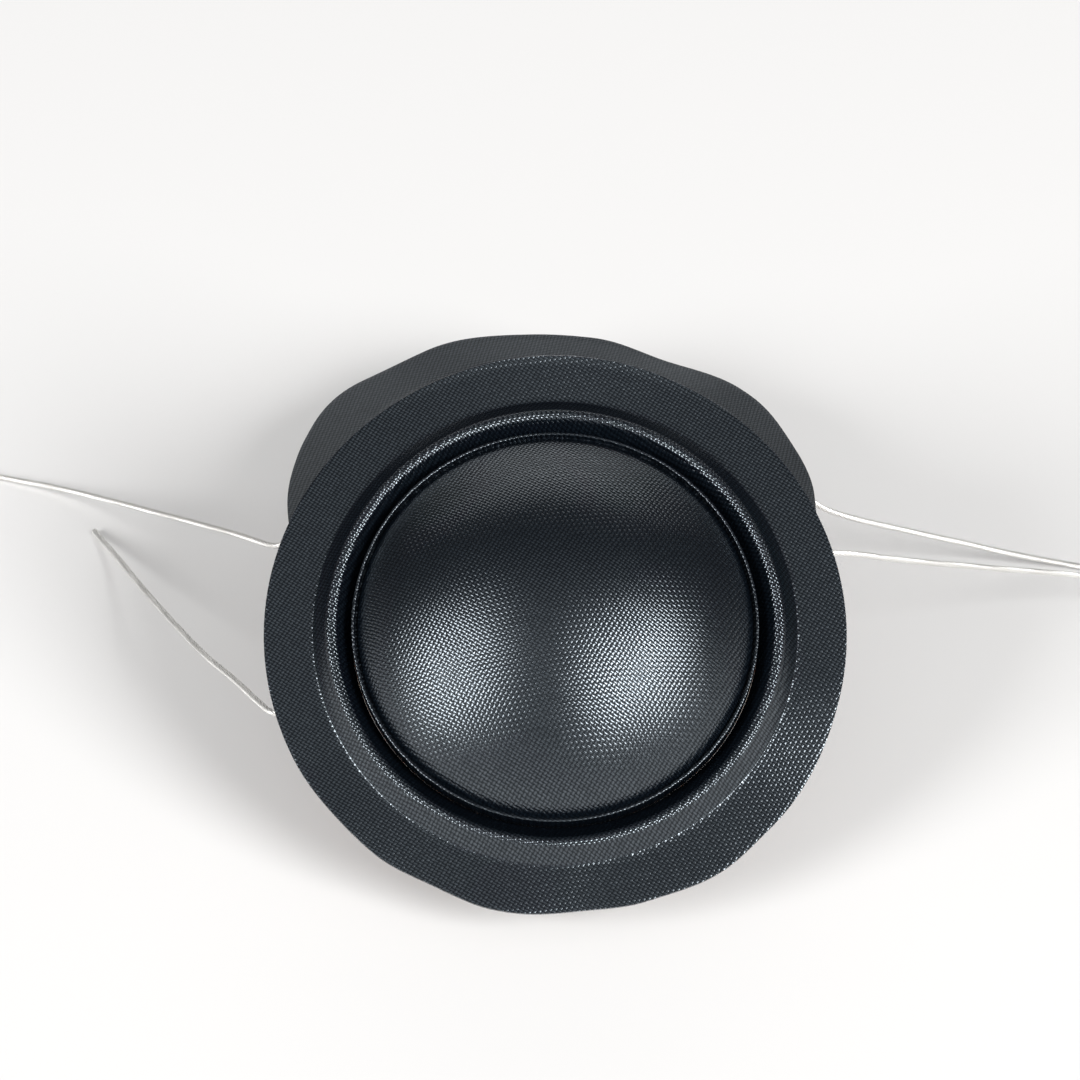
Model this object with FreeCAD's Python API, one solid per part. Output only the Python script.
"""A pair of soft dome tweeter diaphragms with their voice coils and tinsel leads.

Both diaphragms are the same product. The rear one stands level on the open end of its voice coil.
The front one stands on the edge of its own coil and leans with its far rim on the rear dome.
Every piece of a diaphragm is built in the diaphragm's own frame: its axis is +Z, towards the dome,
and z = 0 is the underside of the flange. The pair is then placed in the row's frame, +Z up, with the
origin on the table in the middle of the two.
"""
import FreeCAD, Part
import math
import os

from FreeCAD import Rotation, Vector

os.makedirs("parts", exist_ok=True)

# Driving sizes, in millimetres.
coil_bore = 25.4          # inner diameter of the voice coil, one inch
former_wall = 0.15        # foil that the coil is wound on
former_drop = 7.0         # flange underside to the open end of the former
seam_height = 0.6         # flange underside to the top of the former
wire = 0.15               # thickness of one layer of winding
winding_height = 3.0
winding_margin = 0.4      # bare former below the winding
collar_wall = 0.12        # paper wrap that stiffens the former above the winding
collar_gap = 0.25         # winding to collar
collar_top_gap = 0.6      # collar to the lower edge of the dome's skirt
bead_height = 0.35        # adhesive fillet below the dome's skirt
cloth = 0.25              # coated silk of dome, surround and flange
dome_height = 7.0         # flange underside to the top of the dome
skirt_wall = 0.13         # pressed edge of the dome, bonded to the outside of the former
seam_gap = 0.05           # running gap between the moving seam and the surround
roll_width = 2.5          # half-roll surround, foot to foot
roll_height = 1.2         # crest of the surround above the flange's upper face
flange_width = 3.1
lead_diameter = 0.42
lead_straight = 1.4       # straight stretches at the solder joint and through the glue dab
lead_sink = 0.12          # lead's upper side to the flange, in the glue dab
solder_radius = 0.36
solder_reach = 0.65       # joint's outer face beyond the collar
solder_drop = 1.2         # flange underside to the middle of the solder joint
lead_end_gap = 0.03       # solder joint to the end of the lead, so that the coil can travel
dab_radius = 1.05         # glue dab that ties a lead to the flange
dab_height = 0.8
dab_inset = 1.53          # middle of a dab to the outer edge of the flange
rim_drop = 0.5336         # rear dome's top to the edge of the front coil that leans on it, in height
coil_travel = 0.25        # each way, for the dome with its coil
lean_margin = 0.05        # front coil's edge to the rear dome when both coils have travelled

# Sizes that follow from them.
former_inner = coil_bore / 2
former_outer = former_inner + former_wall
winding_bottom = winding_margin - former_drop
winding_top = winding_bottom + winding_height
collar_outer = former_outer + collar_wall
seam_outer = former_outer + skirt_wall
roll_inner = seam_outer + seam_gap
roll_outer = roll_inner + roll_width
flange_outer = roll_outer + flange_width
solder_face = collar_outer + solder_reach
dab_place = flange_outer - dab_inset
crease_height = seam_height + cloth
rise = dome_height - crease_height
dome_sphere = (seam_outer ** 2 + rise ** 2) / (2 * rise)
dome_centre = dome_height - dome_sphere
lean_gap = 2 * coil_travel + lean_margin
rim_height = former_drop + dome_height - rim_drop
lean_angle = math.degrees(math.asin(rim_height / (2 * former_outer)))


def line(a, b):
    return Part.LineSegment(Vector(a[0], 0, a[1]), Vector(b[0], 0, b[1])).toShape()


def arc(a, through, b):
    return Part.Arc(*[Vector(p[0], 0, p[1]) for p in (a, through, b)]).toShape()


def turned(edges):
    """The solid that a closed outline of (radius, height) edges sweeps about the axis."""
    face = Part.Face(Part.Wire(edges))
    return face.revolve(Vector(0, 0, 0), Vector(0, 0, 1), 360)


def ring(inner, outer, bottom, top):
    """A plain tube about the axis."""
    corners = [(inner, bottom), (outer, bottom), (outer, top), (inner, top)]
    return turned([line(corners[i - 1], corners[i]) for i in range(4)])


def dome():
    """Spherical cap of cloth with a sharp crease, and a skirt that is bonded round the former."""
    inner_sphere = dome_sphere - cloth
    inner_foot = dome_centre + math.sqrt(inner_sphere ** 2 - former_inner ** 2)
    half = math.asin(seam_outer / dome_sphere) / 2

    def on_sphere(radius):
        return (radius * math.sin(half), dome_centre + radius * math.cos(half))

    top = (0, dome_height)
    crease = (seam_outer, crease_height)
    under_top = (0, dome_height - cloth)
    return turned([
        arc(top, on_sphere(dome_sphere), crease),
        line(crease, (seam_outer, 0)),
        line((seam_outer, 0), (former_outer, 0)),
        line((former_outer, 0), (former_outer, seam_height)),
        line((former_outer, seam_height), (former_inner, seam_height)),
        line((former_inner, seam_height), (former_inner, inner_foot)),
        arc((former_inner, inner_foot), on_sphere(inner_sphere), under_top),
        line(under_top, top),
    ])


def surround():
    """Half roll of the same cloth between the dome's seam and the flange."""
    middle = (roll_inner + roll_outer) / 2
    crest = (middle, cloth + roll_height)
    under_crest = (middle, roll_height)
    inner_foot = roll_inner + cloth
    outer_foot = roll_outer - cloth
    return turned([
        line((roll_inner, 0), (roll_inner, cloth)),
        arc((roll_inner, cloth), crest, (roll_outer, cloth)),
        line((roll_outer, cloth), (roll_outer, 0)),
        line((roll_outer, 0), (outer_foot, 0)),
        arc((outer_foot, 0), under_crest, (inner_foot, 0)),
        line((inner_foot, 0), (roll_inner, 0)),
    ])


def flange():
    return ring(roll_outer, flange_outer, 0, cloth)


def former():
    return ring(former_inner, former_outer, -former_drop, seam_height)


def winding(layer):
    """One layer of enamelled wire: 0 lies on the former, 1 lies on layer 0."""
    inner = former_outer + layer * wire
    return ring(inner, inner + wire, winding_bottom, winding_top)


def collar():
    return ring(former_outer, collar_outer, winding_top + collar_gap, -collar_top_gap)


def seam_adhesive():
    """Fillet of adhesive in the corner of the former and the dome's skirt."""
    corners = [(former_outer, 0), (seam_outer, 0), (former_outer, -bead_height)]
    return turned([line(corners[i - 1], corners[i]) for i in range(3)])


def radial(shape, angle):
    """Turns a shape built along +X to its angle about the axis."""
    turned_shape = shape.copy()
    turned_shape.rotate(Vector(0, 0, 0), Vector(0, 0, 1), angle)
    return turned_shape


def solder_joint(angle):
    """Bead of solder on the collar, with a flat end where the lead enters."""
    base = Vector(former_outer, 0, -solder_drop)
    bead = Part.makeCylinder(solder_radius, solder_face - former_outer, base, Vector(1, 0, 0))
    outer_edge = [e for e in bead.Edges if e.BoundBox.XMin > solder_face - 0.01]
    bead = bead.makeChamfer(solder_radius / 4, outer_edge)
    core = Part.makeCylinder(collar_outer, 2 * former_drop, Vector(0, 0, -former_drop))
    return radial(bead.cut(core), angle)


def lead_out_wire(angle):
    """End of the coil's wire, which runs up over the collar to the solder joint."""
    top = -solder_drop - solder_radius
    foot = Vector(collar_outer + wire / 2, 0, winding_top)
    return radial(Part.makeCylinder(wire / 2, top - winding_top, foot), angle)


def placed(shape, unit):
    """Moves a shape from a diaphragm's own frame to the row's frame."""
    moved = shape.copy()
    moved.rotate(Vector(0, 0, 0), Vector(1, 0, 0), unit["tilt"])
    moved.translate(unit["centre"])
    return moved


def front_centre():
    """Where the front flange is when its coil stands on the table and leans on the rear dome."""
    sine = math.sin(math.radians(lean_angle))
    cosine = math.cos(math.radians(lean_angle))
    height = former_outer * sine + former_drop * cosine
    above_sphere = rim_height - (former_drop + dome_centre)
    reach = math.sqrt((dome_sphere + lean_gap) ** 2 - above_sphere ** 2)
    return Vector(0, -reach - former_drop * sine - former_outer * cosine, height)


def layout():
    """Centres of both flanges, with the origin in the middle of the pair's footprint."""
    tilt = math.radians(lean_angle)
    front = front_centre()
    rear = Vector(0, 0, former_drop)
    nearest = front.y - flange_outer * math.cos(tilt) - cloth * math.sin(tilt)
    shift = Vector(0, -(nearest + flange_outer) / 2, 0)
    return {
        "rear": {"centre": rear + shift, "tilt": 0},
        "front": {"centre": front + shift, "tilt": lean_angle},
    }


# Where the two leads leave each coil, as angles about its axis.
lead_angles = {"rear": {"left": 190, "right": 1}, "front": {"left": 197.6, "right": 17.6}}

# Each lead beyond the edge of its flange, in the row's frame, out to the bare end.
free_routes = {
    "rear_left": [
        (-20.8, 6.1, 5.7), (-23.8, 8.6, 4.35), (-27.4, 11.9, 2.85), (-31.5, 15.1, 1.5), (-35.9, 17.8, 0.6),
        (-40.9, 19.6, 0.27), (-46.1, 21.0, 0.23), (-50.9, 23.1, 0.23),
    ],
    "rear_right": [
        (20.8, 8.8, 5.6), (24.6, 9.2, 4.0), (28.7, 9.8, 2.3), (33.0, 9.95, 0.95), (37.8, 9.4, 0.3),
        (43.0, 8.2, 0.23), (48.2, 7.7, 0.23), (53.0, 8.5, 0.23),
    ],
    "front_left": [
        (-18.9, -15.6, 9.4), (-20.6, -13.5, 8.9), (-22.7, -9.1, 7.8), (-25.7, -3.0, 5.75), (-28.6, 3.6, 3.2),
        (-31.3, 9.8, 1.1), (-33.2, 13.4, 0.23),
    ],
    "front_right": [
        (19.6, -6.3, 14.6), (22.5, -5.0, 13.0), (26.5, -2.5, 10.5), (30.9, 0.2, 7.8), (35.7, 3.2, 4.9),
        (40.5, 4.9, 2.6), (45.2, 5.0, 0.95), (49.8, 4.2, 0.25), (54.2, 3.9, 0.23),
    ],
}


def rounded_path(name, points):
    """Straight runs joined by the largest tangent arcs that they allow."""
    edges = []
    start = points[0]
    radii = []
    for before, corner, after in zip(points, points[1:], points[2:]):
        inward = (corner - before).normalize()
        outward = (after - corner).normalize()
        half_turn = inward.getAngle(outward) / 2
        cut = 0.45 * min(before.distanceToPoint(corner), corner.distanceToPoint(after))
        radius = cut / math.tan(half_turn)
        to_centre = (outward - inward).normalize()
        middle = corner + to_centre * (radius / math.cos(half_turn) - radius)
        first = corner - inward * cut
        last = corner + outward * cut
        edges.append(Part.LineSegment(start, first).toShape())
        edges.append(Part.Arc(first, middle, last).toShape())
        start = last
        radii.append(radius)
    edges.append(Part.LineSegment(start, points[-1]).toShape())
    print(name, "radii", [round(r, 1) for r in radii], "smallest", round(min(radii), 2))
    return Part.Wire(edges)


def held_route(side, end, unit):
    """The lead's points from the solder joint to the edge of the flange, in the row's frame."""
    angle = math.radians(lead_angles[side][end])
    under_flange = -lead_diameter / 2 - lead_sink
    held = [
        (solder_face + lead_end_gap, -solder_drop),
        (solder_face + lead_straight, -solder_drop),
        (dab_place - lead_straight / 2, under_flange - lead_sink / 2),
        (dab_place + lead_straight / 2, under_flange),
    ]
    turn = Rotation(Vector(1, 0, 0), unit["tilt"])
    points = [Vector(r * math.cos(angle), r * math.sin(angle), z) for r, z in held]
    return [turn.multVec(p) + unit["centre"] for p in points]


def lead(name, points):
    """Round tinsel lead along its route."""
    path = rounded_path(name, points)
    end = Part.Circle(points[0], points[1] - points[0], lead_diameter / 2)
    tube = path.makePipeShell([Part.Wire(end.toShape())], True, True)
    section = math.pi * lead_diameter ** 2 / 4
    print(name, "length", round(path.Length, 2), "volume ratio", round(tube.Volume / (section * path.Length), 4))
    return tube


def glue_dab(angle):
    """Flattened drop of glue on the underside of the flange, around the lead."""
    sphere = (dab_radius ** 2 + dab_height ** 2) / (2 * dab_height)
    drop = Part.makeSphere(sphere, Vector(dab_place, 0, sphere - dab_height))
    above = Part.makeBox(4 * sphere, 4 * sphere, 4 * sphere, Vector(dab_place - 2 * sphere, -2 * sphere, 0))
    return radial(drop.cut(above), angle)


def build_unit(side, unit):
    """All the pieces of one diaphragm, by node name."""
    angles = lead_angles[side].values()
    pieces = {
        "dome": dome(),
        "surround": surround(),
        "flange": flange(),
        "former": former(),
        "winding_inner": winding(0),
        "winding_outer": winding(1),
        "collar": collar(),
        "seam_adhesive": seam_adhesive(),
        "solder_joints": Part.makeCompound([solder_joint(a) for a in angles]),
        "lead_out_wires": Part.makeCompound([lead_out_wire(a) for a in angles]),
    }
    nodes = {f"{side}_{name}": placed(shape, unit) for name, shape in pieces.items()}
    dabs = []
    for end, angle in lead_angles[side].items():
        name = f"{side}_{end}"
        tube = lead(name, held_route(side, end, unit) + [Vector(*p) for p in free_routes[name]])
        nodes[f"{side}_lead_{end}"] = tube
        dabs.append(placed(glue_dab(angle), unit).cut(tube))
    nodes[f"{side}_lead_glue"] = Part.makeCompound(dabs)
    return nodes


def main():
    for side, unit in layout().items():
        print(side, "centre", unit["centre"], "tilt", unit["tilt"])
        for name, shape in build_unit(side, unit).items():
            shape.exportStep(f"parts/{name}.step")


main()
